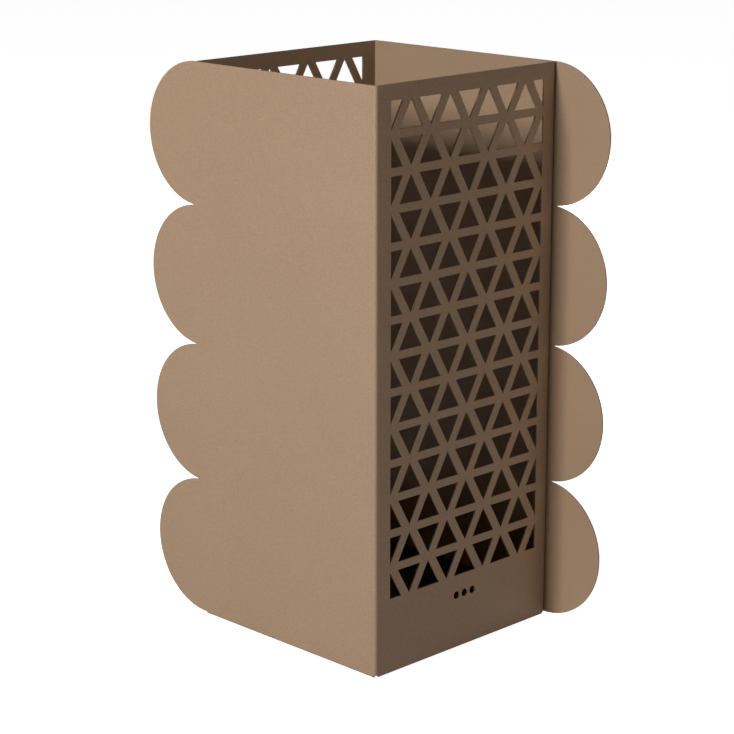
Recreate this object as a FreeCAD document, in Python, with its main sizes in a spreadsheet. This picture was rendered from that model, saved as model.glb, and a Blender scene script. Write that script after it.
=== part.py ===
import FreeCAD, Part
import math
import os
import Sketcher

# Umbrella stand: a square tower of two identical bent steel sheets, bolted together at two
# opposite corners. Each sheet is one plain panel, which runs on past its corner as a
# scalloped wing, and one panel pierced with a lattice of triangles. A loose drip tray
# stands on the base plate at the bottom of the well.
#
# Frame: millimetres, +Z up, origin on the floor under the middle of the tower.
# The plain panels lie along X, at the front (-Y) and the rear (+Y). The pierced panels
# lie along Y, on the right (+X) and the left (-X).

DIMENSIONS = (
    ("side", 219.0),             # outer width and depth of the square tower
    ("sheet", 1.5),              # thickness of the steel sheet
    ("sheet_height", 500.0),     # height of the two sheets
    ("bend_radius", 2.5),        # outside radius of every bend
    ("foot_height", 4.0),        # how far the feet hold the sheets off the floor
    ("scallop_radius", 62.25),   # half circles down the edge of each wing
    ("seam_flange", 15.0),       # width of the flange bolted at each seam
    ("seam_gap", 0.8),           # the welds of the studs hold the two sheets this far apart
    ("bottom_flange", 30.0),     # width of the flanges turned in at the bottom
    ("relief", 3.0),             # where the plain panel's bottom bend stops, short of a corner
    ("seam_relief", 5.0),        # where the pierced panel's bottom bend stops
    ("mitre_gap", 0.7),          # from the diagonal to the mitred end of a bottom flange
    ("hole_side", 27.0),         # side of the lattice's triangular holes
    ("hole_column", 23.0),       # from one hole of a row to the next
    ("hole_row", 30.45),         # from one row of holes to the next
    ("lattice_half", 92.0),      # half the width of the lattice
    ("lattice_top", 486.4),      # top of the highest row, above the bottom of the sheet
    ("dot_radius", 3.4),         # row of round holes below the lattice
    ("dot_pitch", 10.0),
    ("dot_level", 49.0),         # above the bottom of the sheet
    ("stud_radius", 2.0),        # M4 thread
    ("stud_inset", 9.0),         # from the outside of the corner to the line of studs
    ("stud_reach", 6.8),         # length of a stud inside the stand
    ("weld_radius", 2.75),       # collar of weld round the foot of a stud
    ("stud_low", 91.0),          # lowest stud, above the bottom of the sheet
    ("stud_pitch", 182.7),       # six rows of the lattice, so that its bars hide every stud
    ("washer_radius", 4.5),
    ("washer_thick", 0.8),
    ("nut_flats", 7.0),          # across the flats of an M4 nut
    ("nut_height", 3.2),
    ("cap_height", 5.5),         # whole height of a low cap nut
    ("clearance", 0.1),          # round each thread
    ("hole_clearance", 0.25),    # round a screw or stud in the sheet
    ("plate_half", 105.5),       # half the side of the base plate
    ("plate_corner", 9.0),
    ("foot_x", 75.0),            # places of the feet and their screws
    ("foot_y", 91.0),
    ("foot_radius", 8.5),
    ("foot_draft", 0.8),         # how much narrower a foot is at the floor
    ("recess_radius", 4.6),      # recess for the screw's head in a foot
    ("recess_depth", 2.6),
    ("head_radius", 3.8),
    ("head_crown", 2.6),         # radius of the head's flat end
    ("head_height", 2.2),
    ("screw_length", 10.0),
    ("socket_flats", 2.5),
    ("socket_depth", 1.3),
    ("tray_half", 101.5),        # half the side of the tray where it stands on the plate
    ("tray_corner", 25.0),
    ("tray_height", 20.0),
    ("tray_wall", 1.6),
    ("tray_floor", 1.8),
    ("tray_draft", 3.0),         # degrees that the tray's wall leans outwards
    ("rim_half", 104.5),         # half the side of the tray's rim
    ("rim_corner", 28.0),
    ("rim_thick", 2.0),
    ("dome_radius", 9.5),        # hollow domes in the tray's floor, over the nuts
    ("dome_height", 9.0),
    ("rib_width", 1.6),
    ("rib_height", 2.0),
    ("rib_length", 150.0),
    ("rib_pitch", 22.0),
)

RIBS = 7
LATTICE_ROW_PAIRS = 7
STUDS = 3
ORIGIN = (-1, 1)       # the sketcher's own name for the origin of a sketch
OVERSHOOT = 5.0        # how far a cutting sketch passes the edge that it cuts

document = FreeCAD.newDocument("UmbrellaStand")
sheet_of_sizes = document.addObject("Spreadsheet::Sheet", "Dims")


class Size:
    """A length together with the sheet expression that it comes from."""

    def __init__(self, value, text):
        self.value = float(value)
        self.text = text

    def __add__(self, other):
        return join(self, "+", other)

    def __radd__(self, other):
        return join(other, "+", self)

    def __sub__(self, other):
        return join(self, "-", other)

    def __rsub__(self, other):
        return join(other, "-", self)

    def __mul__(self, other):
        return join(self, "*", other)

    def __rmul__(self, other):
        return join(other, "*", self)

    def __truediv__(self, other):
        return join(self, "/", other)

    def __neg__(self):
        return Size(-self.value, "-(%s)" % self.text)


def as_size(amount):
    return amount if isinstance(amount, Size) else Size(amount, repr(float(amount)))


def join(left, sign, right):
    a = as_size(left)
    b = as_size(right)
    values = {
        "+": a.value + b.value,
        "-": a.value - b.value,
        "*": a.value * b.value,
        "/": a.value / b.value if b.value else 0.0,
    }
    return Size(values[sign], "(%s %s %s)" % (a.text, sign, b.text))


for row, (alias, amount) in enumerate(DIMENSIONS, 1):
    sheet_of_sizes.set("A%d" % row, alias)
    sheet_of_sizes.set("B%d" % row, str(amount))
    sheet_of_sizes.setAlias("B%d" % row, alias)
document.recompute()


def size(alias):
    return Size(sheet_of_sizes.get(alias), "Dims." + alias)


# Sizes that several pieces share.
sheet = size("sheet")
half_side = size("side") / 2
inner_half = half_side - sheet
bend = size("bend_radius")
sheet_bottom = size("foot_height")
sheet_top = sheet_bottom + size("sheet_height")
fold_top = sheet_bottom + bend
flange_top = sheet_bottom + sheet
plate_top = flange_top + sheet
fold_half = half_side - size("relief")
thread_hole = size("stud_radius") + size("clearance")
screw_hole = size("stud_radius") + size("hole_clearance")
stud_x = half_side - size("stud_inset")
hole_height = size("hole_side") * (math.sqrt(3) / 2)


# ---------------------------------------------------------------- helpers

def bind(target, prop, amount):
    """Set one size of an object and tie it to the sheet."""
    target.setExpression(prop, as_size(amount).text)


def new_body(name):
    body = document.addObject("PartDesign::Body", name)
    body.Label = name
    return body


def new_sketch(body, name, plane, offset=0.0):
    """A sketch on one of the body's origin planes, moved along the plane's normal."""
    sketch = body.newObject("Sketcher::SketchObject", name)
    support = [item for item in body.Origin.OriginFeatures if item.Role == plane][0]
    sketch.AttachmentSupport = [(support, "")]
    sketch.MapMode = "FlatFace"
    bind(sketch, "AttachmentOffset.Base.z", offset)
    return sketch


def constrain(sketch, rules):
    """Add constraints given as (kind, references..., Size), each tied to the sheet."""
    made = []
    for rule in rules:
        amount = rule[-1]
        if isinstance(amount, Size):
            made.append(Sketcher.Constraint(*rule[:-1], amount.value))
        else:
            made.append(Sketcher.Constraint(*rule))
    for index, rule in zip(sketch.addConstraint(made), rules):
        if isinstance(rule[-1], Size):
            sketch.setExpression("Constraints[%d]" % index, rule[-1].text)


def pin_point(curve, end, x, y):
    """The two rules that hold one end of a curve at x, y."""
    return [
        ("DistanceX", *ORIGIN, curve, end, as_size(x)),
        ("DistanceY", *ORIGIN, curve, end, as_size(y)),
    ]


def draw_polygon(sketch, corners):
    """A closed outline of straight lines through the corners."""
    points = [FreeCAD.Vector(as_size(x).value, as_size(y).value, 0) for x, y in corners]
    following = points[1:] + points[:1]
    lines = [Part.LineSegment(a, b) for a, b in zip(points, following)]
    curves = sketch.addGeometry(lines, False)
    rules = []
    for curve, after, corner in zip(curves, curves[1:] + curves[:1], corners):
        rules.append(("Coincident", curve, 2, after, 1))
        rules += pin_point(curve, 1, *corner)
    constrain(sketch, rules)


def draw_rectangle(sketch, x_low, x_high, y_low, y_high):
    draw_polygon(sketch, [(x_low, y_low), (x_high, y_low), (x_high, y_high), (x_low, y_high)])


def draw_circle(sketch, x, y, radius):
    centre = FreeCAD.Vector(as_size(x).value, as_size(y).value, 0)
    circle = Part.Circle(centre, FreeCAD.Vector(0, 0, 1), as_size(radius).value)
    curve = sketch.addGeometry(circle, False)
    constrain(sketch, pin_point(curve, 3, x, y) + [("Radius", curve, as_size(radius))])


def draw_rounded_square(sketch, half, corner):
    """A square of half width `half` about the origin, with its corners rounded."""
    reach = half.value
    straight = (half - corner).value
    lines = []
    arcs = []
    for turn in range(4):
        spin = FreeCAD.Rotation(FreeCAD.Vector(0, 0, 1), 90 * turn)
        start = spin.multVec(FreeCAD.Vector(reach, -straight, 0))
        stop = spin.multVec(FreeCAD.Vector(reach, straight, 0))
        centre = spin.multVec(FreeCAD.Vector(straight, straight, 0))
        lines.append(Part.LineSegment(start, stop))
        circle = Part.Circle(centre, FreeCAD.Vector(0, 0, 1), corner.value)
        begin = math.radians(90 * turn)
        arcs.append(Part.ArcOfCircle(circle, begin, begin + math.pi / 2))
    curves = sketch.addGeometry(lines + arcs, False)
    sides = curves[:4]
    rounds = curves[4:]
    rules = []
    for turn in range(4):
        rules.append(("Tangent", sides[turn], 2, rounds[turn], 1))
        rules.append(("Tangent", rounds[turn], 2, sides[(turn + 1) % 4], 1))
        rules.append(("Radius", rounds[turn], corner))
    rules.append(("Vertical", sides[0]))
    rules.append(("Horizontal", sides[1]))
    rules.append(("Vertical", sides[2]))
    rules.append(("Horizontal", sides[3]))
    rules.append(("DistanceX", *ORIGIN, sides[0], 1, half))
    rules.append(("DistanceY", *ORIGIN, sides[1], 1, half))
    rules.append(("DistanceX", *ORIGIN, sides[2], 1, -half))
    rules.append(("DistanceY", *ORIGIN, sides[3], 1, -half))
    constrain(sketch, rules)


def pad(body, sketch, length, backwards=False, both_ways=False):
    feature = body.newObject("PartDesign::Pad", sketch.Name + "_pad")
    feature.Profile = sketch
    bind(feature, "Length", length)
    feature.Reversed = backwards
    feature.Midplane = both_ways
    sketch.Visibility = False
    return feature


def pocket(body, sketch, depth, backwards=False):
    feature = body.newObject("PartDesign::Pocket", sketch.Name + "_pocket")
    feature.Profile = sketch
    bind(feature, "Length", depth)
    feature.Reversed = backwards
    sketch.Visibility = False
    return feature


def repeat_up(body, feature, sketch, count, pitch):
    """A row of copies of a feature, up the vertical axis of its sketch."""
    pattern = body.newObject("PartDesign::LinearPattern", feature.Name + "_row")
    pattern.Originals = [feature]
    pattern.Direction = (sketch, ["V_Axis"])
    pattern.Occurrences = count
    bind(pattern, "Length", pitch * (count - 1))
    body.Tip = pattern
    return pattern


def round_edges(body, base, radius, chosen):
    """Fillet the straight edges of a feature whose middle passes the test."""
    document.recompute()
    names = []
    for number, edge in enumerate(base.Shape.Edges, 1):
        if edge.Curve.TypeId == "Part::GeomLine" and chosen(edge.CenterOfMass):
            names.append("Edge%d" % number)
    fillet = body.newObject("PartDesign::Fillet", base.Name + "_bends")
    fillet.Base = (base, names)
    bind(fillet, "Radius", radius)
    return fillet


# ---------------------------------------------------------------- the two bent sheets

def add_walls(body):
    """Plain panel, pierced panel and seam flange: one strip, bent at two corners."""
    sketch = new_sketch(body, "walls", "XY_Plane", fold_top)
    flange_end = half_side - size("seam_flange")
    seam_out = inner_half - size("seam_gap")
    seam_in = seam_out - sheet
    draw_polygon(sketch, [
        (-inner_half, -half_side),
        (half_side, -half_side),
        (half_side, seam_out),
        (flange_end, seam_out),
        (flange_end, seam_in),
        (inner_half, seam_in),
        (inner_half, -inner_half),
        (-inner_half, -inner_half),
    ])
    walls = pad(body, sketch, sheet_top - fold_top)

    def near(point, x, y):
        return abs(point.x - x.value) < 0.1 and abs(point.y - y.value) < 0.1

    outer = round_edges(body, walls, bend, lambda point: (
        near(point, half_side, -half_side) or near(point, half_side, seam_out)))
    round_edges(body, outer, bend - sheet, lambda point: (
        near(point, inner_half, -inner_half) or near(point, inner_half, seam_in)))


def add_wing(body):
    """The plain panel's free edge: four half circles beyond the corner."""
    sketch = new_sketch(body, "wing", "XZ_Plane", half_side)
    radius = size("scallop_radius")
    root = inner_half - size("relief")
    bottom = sheet_top - 8 * radius
    points = [(-root, sheet_top), (-inner_half, sheet_top)]
    levels = [sheet_top - radius * (2 * lobe + 1) for lobe in range(4)]

    def spot(x, y):
        return FreeCAD.Vector(x.value, y.value, 0)

    arcs = []
    for level in levels:
        circle = Part.Circle(spot(-inner_half, level), FreeCAD.Vector(0, 0, 1), radius.value)
        arcs.append(Part.ArcOfCircle(circle, math.pi / 2, 3 * math.pi / 2))
    lines = [
        Part.LineSegment(spot(*points[0]), spot(*points[1])),
        Part.LineSegment(spot(-inner_half, bottom), spot(-root, bottom)),
        Part.LineSegment(spot(-root, bottom), spot(*points[0])),
    ]
    curves = sketch.addGeometry(arcs + lines, False)
    lobes = curves[:4]
    top_line, bottom_line, root_line = curves[4:]
    rules = []
    for lobe, level in zip(lobes, levels):
        rules += pin_point(lobe, 3, -inner_half, level)
        rules.append(("Radius", lobe, radius))
        for end in (1, 2):
            rules.append(("DistanceX", *ORIGIN, lobe, end, -inner_half))
    rules += [
        ("Coincident", top_line, 2, lobes[0], 1),
        ("Horizontal", top_line),
        ("Coincident", lobes[3], 2, bottom_line, 1),
        ("Horizontal", bottom_line),
        ("Coincident", bottom_line, 2, root_line, 1),
        ("Coincident", root_line, 2, top_line, 1),
        ("Vertical", root_line),
        ("DistanceX", *ORIGIN, root_line, 1, -root),
    ]
    constrain(sketch, rules)
    pad(body, sketch, sheet, backwards=True)


def add_bottom_fold(body, name, plane, wall_side, reach):
    """One bottom bend with its flange, from -reach to reach along its wall.

    wall_side is -1 or +1: which way the wall faces.
    """
    sketch = new_sketch(body, name, plane)
    outer_face = wall_side * half_side
    tangent = wall_side * (half_side - bend)
    inner_face = wall_side * inner_half
    flange_end = wall_side * (half_side - size("bottom_flange"))

    def spot(x, y):
        return FreeCAD.Vector(x.value, y.value, 0)

    def quarter(radius):
        circle = Part.Circle(spot(tangent, fold_top), FreeCAD.Vector(0, 0, 1), radius.value)
        if wall_side < 0:
            return Part.ArcOfCircle(circle, math.pi, 3 * math.pi / 2)
        return Part.ArcOfCircle(circle, 3 * math.pi / 2, 2 * math.pi)

    inner_bend = bend - sheet
    curves = sketch.addGeometry([
        quarter(bend),
        quarter(inner_bend),
        Part.LineSegment(spot(tangent, sheet_bottom), spot(flange_end, sheet_bottom)),
        Part.LineSegment(spot(flange_end, sheet_bottom), spot(flange_end, flange_top)),
        Part.LineSegment(spot(flange_end, flange_top), spot(tangent, flange_top)),
        Part.LineSegment(spot(inner_face, fold_top), spot(outer_face, fold_top)),
    ], False)
    outer_arc, inner_arc, under, end, over, root = curves
    arc_at_wall, arc_at_floor = (1, 2) if wall_side < 0 else (2, 1)
    constrain(sketch, pin_point(outer_arc, 3, tangent, fold_top) + [
        ("Radius", outer_arc, bend),
        ("Coincident", inner_arc, 3, outer_arc, 3),
        ("Radius", inner_arc, inner_bend),
        ("Coincident", outer_arc, arc_at_floor, under, 1),
        ("Coincident", under, 2, end, 1),
        ("Coincident", end, 2, over, 1),
        ("Coincident", over, 2, inner_arc, arc_at_floor),
        ("Coincident", inner_arc, arc_at_wall, root, 1),
        ("Coincident", root, 2, outer_arc, arc_at_wall),
        ("Horizontal", under),
        ("Vertical", end),
        ("Horizontal", over),
        ("DistanceX", *ORIGIN, under, 1, tangent),
        ("DistanceX", *ORIGIN, over, 2, tangent),
        ("DistanceX", *ORIGIN, under, 2, flange_end),
        ("DistanceY", *ORIGIN, root, 1, fold_top),
        ("DistanceY", *ORIGIN, root, 2, fold_top),
    ])
    pad(body, sketch, 2 * reach, both_ways=True)


def mitre_bottom_flanges(body):
    """Cut the bottom flanges along the diagonals, so that no two of them meet."""
    gap = size("mitre_gap")
    inner = half_side - size("bottom_flange") - 1
    outer = half_side + 1

    slot = new_sketch(body, "mitre_slot", "XY_Plane", sheet_bottom)
    draw_polygon(slot, [
        (inner - gap, -inner),
        (inner, -inner + gap),
        (outer, -outer + gap),
        (outer - gap, -outer),
    ])
    pocket(body, slot, sheet, backwards=True)

    for name, sign in (("mitre_right", 1), ("mitre_left", -1)):
        end = new_sketch(body, name, "XY_Plane", sheet_bottom)
        high = outer if sign > 0 else -inner
        low = inner if sign > 0 else -outer
        draw_polygon(end, [(low, low - gap), (high, high - gap), (low, high + 1)])
        pocket(body, end, sheet, backwards=True)


def cut_lattice(body):
    """Two rows of triangles, pointing up and down in turn, repeated up the panel."""
    sketch = new_sketch(body, "lattice", "YZ_Plane", half_side + OVERSHOOT)
    half_hole = size("hole_side") / 2
    column = size("hole_column")
    edge = size("lattice_half")
    row_pitch = size("hole_row")
    top_row = sheet_bottom + size("lattice_top")
    lowest_pair = 2 * LATTICE_ROW_PAIRS - 2
    for row_in_pair in (0, 1):
        top = top_row - row_pitch * (lowest_pair + row_in_pair)
        bottom = top - hole_height
        for place in range(-4, 5):
            centre = column * place
            points_up = (place + row_in_pair) % 2 == 1
            base = bottom if points_up else top
            tip = top if points_up else bottom
            if place == -4:
                draw_polygon(sketch, [(-edge, base), (-edge + half_hole, base), (-edge, tip)])
            elif place == 4:
                draw_polygon(sketch, [(edge - half_hole, base), (edge, base), (edge, tip)])
            else:
                draw_polygon(sketch, [
                    (centre - half_hole, base),
                    (centre + half_hole, base),
                    (centre, tip),
                ])
    two_rows = pocket(body, sketch, 2 * OVERSHOOT)
    repeat_up(body, two_rows, sketch, LATTICE_ROW_PAIRS, 2 * row_pitch)


def cut_round_holes(body):
    """Row of dots, stud holes in the seam flange and screw holes in the bottom flange."""
    dots = new_sketch(body, "dots", "YZ_Plane", half_side + OVERSHOOT)
    for place in (-1, 0, 1):
        draw_circle(dots, size("dot_pitch") * place, sheet_bottom + size("dot_level"),
                    size("dot_radius"))
    pocket(body, dots, 2 * OVERSHOOT)

    studs = new_sketch(body, "stud_holes", "XZ_Plane", -(inner_half + OVERSHOOT))
    draw_circle(studs, stud_x, sheet_bottom + size("stud_low"), screw_hole)
    first = pocket(body, studs, 2 * OVERSHOOT, backwards=True)
    repeat_up(body, first, studs, STUDS, size("stud_pitch"))

    screws = new_sketch(body, "screw_holes", "XY_Plane", sheet_bottom)
    for side in (-1, 1):
        draw_circle(screws, size("foot_x") * side, -size("foot_y"), screw_hole)
    pocket(body, screws, sheet, backwards=True)


def make_shell(name, turn):
    """One bent sheet. The rear one is the front one turned half round about Z."""
    body = new_body(name)
    add_walls(body)
    add_wing(body)
    add_bottom_fold(body, "front_fold", "YZ_Plane", -1, fold_half)
    add_bottom_fold(body, "right_fold", "XZ_Plane", 1, half_side - size("seam_relief"))
    mitre_bottom_flanges(body)
    cut_round_holes(body)
    cut_lattice(body)
    body.Placement = FreeCAD.Placement(
        FreeCAD.Vector(0, 0, 0), FreeCAD.Rotation(FreeCAD.Vector(0, 0, 1), turn))
    return body


# ---------------------------------------------------------------- base plate and feet

def make_base_plate():
    body = new_body("base_plate")
    outline = new_sketch(body, "plate", "XY_Plane", flange_top)
    draw_rounded_square(outline, size("plate_half"), size("plate_corner"))
    pad(body, outline, sheet)
    holes = new_sketch(body, "plate_holes", "XY_Plane", plate_top)
    for x_side in (-1, 1):
        for y_side in (-1, 1):
            draw_circle(holes, size("foot_x") * x_side, size("foot_y") * y_side, screw_hole)
    pocket(body, holes, sheet)
    return body


def make_foot(name, x_side, y_side):
    """Rubber foot, turned about its own axis, with a recess that hides the screw's head."""
    body = new_body(name)
    sketch = new_sketch(body, "section", "XZ_Plane")
    narrow = size("foot_radius") - size("foot_draft")
    draw_polygon(sketch, [
        (size("recess_radius"), 0.0),
        (narrow, 0.0),
        (size("foot_radius"), size("foot_height")),
        (screw_hole, size("foot_height")),
        (screw_hole, size("recess_depth")),
        (size("recess_radius"), size("recess_depth")),
    ])
    turned = body.newObject("PartDesign::Revolution", "turned")
    turned.Profile = sketch
    turned.ReferenceAxis = (sketch, ["V_Axis"])
    turned.Angle = 360
    sketch.Visibility = False
    bind(body, "Placement.Base.x", size("foot_x") * x_side)
    bind(body, "Placement.Base.y", size("foot_y") * y_side)
    return body


# ---------------------------------------------------------------- drip tray

def make_drip_tray():
    body = new_body("drip_tray")
    tray_top = plate_top + size("tray_height")
    floor_top = plate_top + size("tray_floor")
    draft = math.tan(math.radians(size("tray_draft").value))

    outside = new_sketch(body, "outside", "XY_Plane", plate_top)
    draw_rounded_square(outside, size("tray_half"), size("tray_corner"))
    block = pad(body, outside, size("tray_height"))
    bind(block, "TaperAngle", size("tray_draft"))

    rim = new_sketch(body, "rim", "XY_Plane", tray_top)
    draw_rounded_square(rim, size("rim_half"), size("rim_corner"))
    pad(body, rim, size("rim_thick"), backwards=True)

    hollow = new_sketch(body, "hollow", "XY_Plane", floor_top)
    draw_rounded_square(hollow, size("tray_half") - size("tray_wall"),
                        size("tray_corner") - size("tray_wall"))
    cavity = pocket(body, hollow, size("tray_height"), backwards=True)
    bind(cavity, "TaperAngle", size("tray_draft"))

    domes = new_sketch(body, "domes", "XY_Plane", plate_top)
    hollows = new_sketch(body, "dome_hollows", "XY_Plane", plate_top)
    for x_side in (-1, 1):
        for y_side in (-1, 1):
            spot = (size("foot_x") * x_side, size("foot_y") * y_side)
            draw_circle(domes, *spot, size("dome_radius"))
            draw_circle(hollows, *spot, size("dome_radius") - size("tray_wall"))
    pad(body, domes, size("dome_height"))
    pocket(body, hollows, size("dome_height") - size("tray_wall"), backwards=True)

    rib = new_sketch(body, "ribs", "XY_Plane", floor_top)
    for place in range(-(RIBS // 2), RIBS // 2 + 1):
        middle = size("rib_pitch") * place
        draw_rectangle(rib, middle - size("rib_width") / 2, middle + size("rib_width") / 2,
                       -(size("rib_length") / 2), size("rib_length") / 2)
    pad(body, rib, size("rib_height"))
    return body


# ---------------------------------------------------------------- fasteners

def primitive(kind, name, **sizes):
    """One of Part's own solids, with each size tied to the sheet."""
    item = document.addObject("Part::" + kind, name)
    for prop, amount in sizes.items():
        bind(item, prop, amount)
    return item


def cut_from(name, base, tool):
    item = document.addObject("Part::Cut", name)
    item.Base = base
    item.Tool = tool
    return item


def join_solids(name, pieces):
    item = document.addObject("Part::MultiFuse", name)
    item.Shapes = pieces
    return item


def group(name, pieces):
    """Identical fasteners, kept as separate solids under one label."""
    item = document.addObject("Part::Compound", name)
    item.Label = name
    item.Links = pieces
    return item


def put(item, x, y, z, turn=None):
    """Place a fastener, tied to the sheet; turn lays its axis over from +Z."""
    if turn is not None:
        item.Placement = FreeCAD.Placement(FreeCAD.Vector(0, 0, 0), turn)
    for axis, amount in zip("xyz", (x, y, z)):
        bind(item, "Placement.Base." + axis, amount)
    return item


def make_washer(name):
    disc = primitive("Cylinder", name + "_disc",
                     Radius=size("washer_radius"), Height=size("washer_thick"))
    hole = primitive("Cylinder", name + "_hole",
                     Radius=screw_hole, Height=size("washer_thick"))
    return cut_from(name, disc, hole)


def make_hexagon(name, height):
    """Hexagonal bar of the nut's size: its circumradius is the flats over root three."""
    return primitive("Prism", name, Circumradius=size("nut_flats") / math.sqrt(3),
                     Height=height)


def make_nut(name):
    bar = make_hexagon(name + "_bar", size("nut_height"))
    hole = primitive("Cylinder", name + "_hole", Radius=thread_hole, Height=size("nut_height"))
    return cut_from(name, bar, hole)


def make_cap_nut(name):
    """Low cap nut: a hexagon with a domed cap over a blind hole."""
    bar = make_hexagon(name + "_bar", size("nut_height"))
    cap_rise = size("cap_height") - size("nut_height")
    foot = size("nut_flats") / 2 - 0.2
    cap = primitive("Cone", name + "_cap", Radius1=foot, Radius2=foot * 0.55,
                    Height=cap_rise)
    bind(cap, "Placement.Base.z", size("nut_height"))
    body = join_solids(name + "_body", [bar, cap])
    hole = primitive("Cylinder", name + "_hole", Radius=thread_hole,
                     Height=size("cap_height") - 1)
    return cut_from(name, body, hole)


def make_stud(name):
    """Welded stud: a plain bar with a collar of weld, which keeps the two sheets apart."""
    bar = primitive("Cylinder", name + "_bar",
                    Radius=size("stud_radius"), Height=size("stud_reach"))
    weld = primitive("Cylinder", name + "_weld",
                     Radius=size("weld_radius"), Height=size("seam_gap"))
    return join_solids(name, [bar, weld])


def make_screw(name):
    """Button-head screw, head down, with a hexagon socket."""
    head = primitive("Cone", name + "_head", Radius1=size("head_crown"),
                     Radius2=size("head_radius"), Height=size("head_height"))
    shank = primitive("Cylinder", name + "_shank", Radius=size("stud_radius"),
                      Height=size("screw_length"))
    bind(shank, "Placement.Base.z", size("head_height"))
    blank = join_solids(name + "_blank", [head, shank])
    socket = primitive("Prism", name + "_socket", Height=size("socket_depth"),
                       Circumradius=size("socket_flats") / math.sqrt(3))
    return cut_from(name, blank, socket)


def make_foot_fasteners():
    """A screw up through each foot, flange and base plate, with its washer and nut."""
    screws = []
    washers = []
    nuts = []
    head_bottom = size("recess_depth") - size("head_height")
    for x_side in (-1, 1):
        for y_side in (-1, 1):
            tag = "%d" % (len(screws) + 1)
            x = size("foot_x") * x_side
            y = size("foot_y") * y_side
            screws.append(put(make_screw("foot_screw_" + tag), x, y, head_bottom))
            washers.append(put(make_washer("foot_washer_" + tag), x, y, plate_top))
            nut_bottom = plate_top + size("washer_thick")
            nuts.append(put(make_nut("foot_nut_" + tag), x, y, nut_bottom))
    return [
        group("foot_screws", screws),
        group("foot_washers", washers),
        group("foot_nuts", nuts),
    ]


def make_seam_fasteners(seam, side):
    """Studs on a plain panel's inner face, with a washer and a cap nut on each.

    side is +1 for the seam at the right rear corner, -1 for the one at the left front.
    """
    inward = FreeCAD.Rotation(FreeCAD.Vector(1, 0, 0), 90 * side)
    x = stud_x * side
    flange_face = (inner_half - size("seam_gap") - sheet) * side
    washer_face = (inner_half - size("seam_gap") - sheet - size("washer_thick")) * side
    studs = []
    washers = []
    nuts = []
    for place in range(STUDS):
        tag = "%s_%d" % (seam, place + 1)
        z = sheet_bottom + size("stud_low") + size("stud_pitch") * place
        studs.append(put(make_stud("stud_" + tag), x, inner_half * side, z, inward))
        washers.append(put(make_washer("washer_" + tag), x, flange_face, z, inward))
        nuts.append(put(make_cap_nut("cap_nut_" + tag), x, washer_face, z, inward))
    return [
        group(seam + "_seam_studs", studs),
        group(seam + "_seam_washers", washers),
        group(seam + "_seam_nuts", nuts),
    ]


# ---------------------------------------------------------------- build and write

def build():
    nodes = [make_shell("front_shell", 0), make_shell("rear_shell", 180)]
    nodes.append(make_base_plate())
    nodes.append(make_drip_tray())
    for x_name, x_side in (("left", -1), ("right", 1)):
        for y_name, y_side in (("front", -1), ("rear", 1)):
            nodes.append(make_foot("foot_%s_%s" % (y_name, x_name), x_side, y_side))
    nodes += make_foot_fasteners()
    nodes += make_seam_fasteners("right", 1)
    nodes += make_seam_fasteners("left", -1)
    return nodes


def check(nodes):
    """Stop before writing anything if the document holds a failure."""
    for item in document.Objects:
        if "Invalid" in item.State or "Error" in item.State:
            raise RuntimeError("%s failed: %s" % (item.Name, item.State))
    for node in nodes:
        if node.Shape.isNull() or not node.Shape.isValid():
            raise RuntimeError("%s has no valid shape" % node.Label)


def write(nodes):
    os.makedirs("parts", exist_ok=True)
    for node in nodes:
        node.Shape.exportStep("parts/%s.step" % node.Label)
        box = node.Shape.BoundBox
        print("%-22s %2d solids %10.1f mm3  x %.1f..%.1f  y %.1f..%.1f  z %.1f..%.1f" % (
            node.Label, len(node.Shape.Solids), node.Shape.Volume,
            box.XMin, box.XMax, box.YMin, box.YMax, box.ZMin, box.ZMax))


all_nodes = build()
document.recompute()
check(all_nodes)
write(all_nodes)
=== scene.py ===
# %% [markdown]
# # An umbrella stand of folded sheet steel
#
# The stand is a square tower made of two identical sheets. Each sheet is one plain panel,
# which runs on past its corner as a wing of four half circles, and one panel that a laser
# has pierced with a lattice of triangles. The sheets are folded, bolted at two opposite
# corners and powder coated. A loose plastic tray stands at the bottom of the well.
#
# The lesson follows the sheet-metal shop: draw the flat lattice, fold the sheet, give it
# its thickness, drill it, break its edges, and only then paint it. Everything is in metres,
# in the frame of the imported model, so each piece is made where it belongs.

# %% The frame
import math

import bmesh
import bpy
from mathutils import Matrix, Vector


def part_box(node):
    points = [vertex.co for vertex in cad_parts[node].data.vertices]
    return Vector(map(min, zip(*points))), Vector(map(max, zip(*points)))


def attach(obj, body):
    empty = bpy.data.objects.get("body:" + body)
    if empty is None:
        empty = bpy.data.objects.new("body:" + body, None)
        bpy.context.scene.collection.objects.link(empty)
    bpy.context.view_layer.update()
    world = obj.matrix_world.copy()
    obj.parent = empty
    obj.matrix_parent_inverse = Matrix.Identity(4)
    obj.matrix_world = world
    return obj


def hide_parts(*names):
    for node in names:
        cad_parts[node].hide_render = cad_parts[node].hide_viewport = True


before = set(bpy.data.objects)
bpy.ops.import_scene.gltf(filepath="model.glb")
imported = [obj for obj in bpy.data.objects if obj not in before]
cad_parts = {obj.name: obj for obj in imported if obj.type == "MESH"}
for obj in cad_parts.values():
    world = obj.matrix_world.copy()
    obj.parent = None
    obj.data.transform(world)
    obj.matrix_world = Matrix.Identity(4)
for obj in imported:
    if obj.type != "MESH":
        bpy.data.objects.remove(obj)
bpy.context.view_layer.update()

# %% [markdown]
# ## Sizes
#
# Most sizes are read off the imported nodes, so that the visible sheet can't drift away from
# the one that was designed. What a node's box can't tell, such as the radius of a bend, is
# a named value here. `MM` keeps those readable.

# %% Sizes of the sheet
MM = 0.001

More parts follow.
